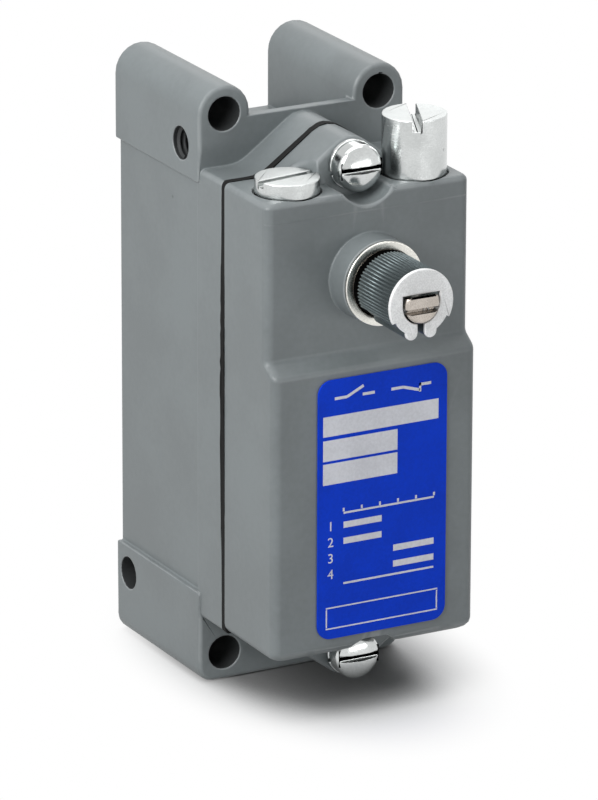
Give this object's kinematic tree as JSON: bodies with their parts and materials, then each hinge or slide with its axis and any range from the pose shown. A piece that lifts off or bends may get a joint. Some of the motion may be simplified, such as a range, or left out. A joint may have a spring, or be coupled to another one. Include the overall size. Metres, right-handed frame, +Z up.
{
  "type": "limit switch",
  "caption": "Heavy-duty rotary limit switch with a grey die-cast housing, a slotted serrated shaft sleeve, spring return and a snap contact block",
  "frame": {"origin": "centre of the four mounting holes, on the rear face of the base housing", "axes": "+Z up along the housing, the front cover and shaft face -Y, +X to the right seen from the front"},
  "size_m": [0.0496, 0.0926, 0.1338],
  "materials": {
    "housing_paint": "satin grey paint over a die-cast housing",
    "gasket_rubber": "black nitrile rubber",
    "plated_steel": "bright zinc-plated steel",
    "nameplate_blue": "deep blue printed plate with blank white fields",
    "bushing_metal": "turned bright metal",
    "die_cast_zinc": "dull cast zinc with a raw end face",
    "shaft_steel": "ground hardened steel",
    "spring_steel": "oiled spring steel",
    "moulded_black": "black moulded resin",
    "moulded_tan": "tan moulded resin",
    "contact_brass": "stamped brass with silver contacts",
    "ground_green": "green dyed screw"
  },
  "bodies": {
    "housing": {"base_housing": "housing_paint", "cover_gasket": "gasket_rubber", "front_cover": "housing_paint", "cover_screw_top": "plated_steel", "cover_screw_bottom": "plated_steel", "lock_washer_top": "plated_steel", "lock_washer_bottom": "plated_steel", "nameplate": "nameplate_blue", "shaft_bushing": "bushing_metal", "shaft_seal": "gasket_rubber", "stop_plug": "plated_steel", "stop_plug_seal": "gasket_rubber", "stop_pin": "shaft_steel", "spring_cap": "plated_steel", "spring_cap_seal": "gasket_rubber", "bearing_plate": "plated_steel", "bearing_plate_screw_left": "plated_steel", "bearing_plate_screw_right": "plated_steel", "contact_block": "moulded_black", "contact_block_cover": "moulded_tan", "contact_block_screw_1": "plated_steel", "contact_block_screw_2": "plated_steel", "fixed_contact_1": "contact_brass", "fixed_contact_2": "contact_brass", "fixed_contact_3": "contact_brass", "fixed_contact_4": "contact_brass", "terminal_clamp_1": "plated_steel", "terminal_clamp_2": "plated_steel", "terminal_clamp_3": "plated_steel", "terminal_clamp_4": "plated_steel", "terminal_screw_1": "plated_steel", "terminal_screw_2": "plated_steel", "terminal_screw_3": "plated_steel", "terminal_screw_4": "plated_steel", "ground_screw": "ground_green", "return_spring": "spring_steel", "carriage_return_spring": "spring_steel"},
    "shaft": {"operating_shaft": "shaft_steel", "shaft_retaining_ring": "spring_steel", "serrated_sleeve": "die_cast_zinc", "rocker_arm": "shaft_steel", "arm_pin": "spring_steel", "contact_crank": "shaft_steel", "crank_screw": "plated_steel"},
    "plunger": {"return_plunger": "shaft_steel"},
    "carriage": {"contact_carriage": "moulded_tan", "contact_bridge": "contact_brass", "contact_spring": "spring_steel", "contact_spring_clip": "spring_steel"}
  },
  "joints": [
    {"name": "shaft_turn", "type": "hinge", "parent": "housing", "child": "shaft", "pos_m": [0, -0.061, 0.0307], "axis": [0, -1, 0], "range_deg": [0, 50], "stiffness_Nm_per_rad": 0.3, "springref_deg": -20.05},
    {"name": "plunger_lift", "type": "slide", "parent": "housing", "child": "plunger", "axis": [0, 0, 1], "range_m": [0, 0.0105], "deforming": ["return_spring"]},
    {"name": "carriage_travel", "type": "slide", "parent": "housing", "child": "carriage", "axis": [0, 0, -1], "range_m": [0, 0.0037], "deforming": ["carriage_return_spring"]}
  ],
  "couplings": [
    {"joint": "plunger_lift", "follows": "shaft_turn", "m_per_rad": 0.012},
    {"joint": "carriage_travel", "follows": "shaft_turn", "m_per_rad": 0.0042}
  ]
}
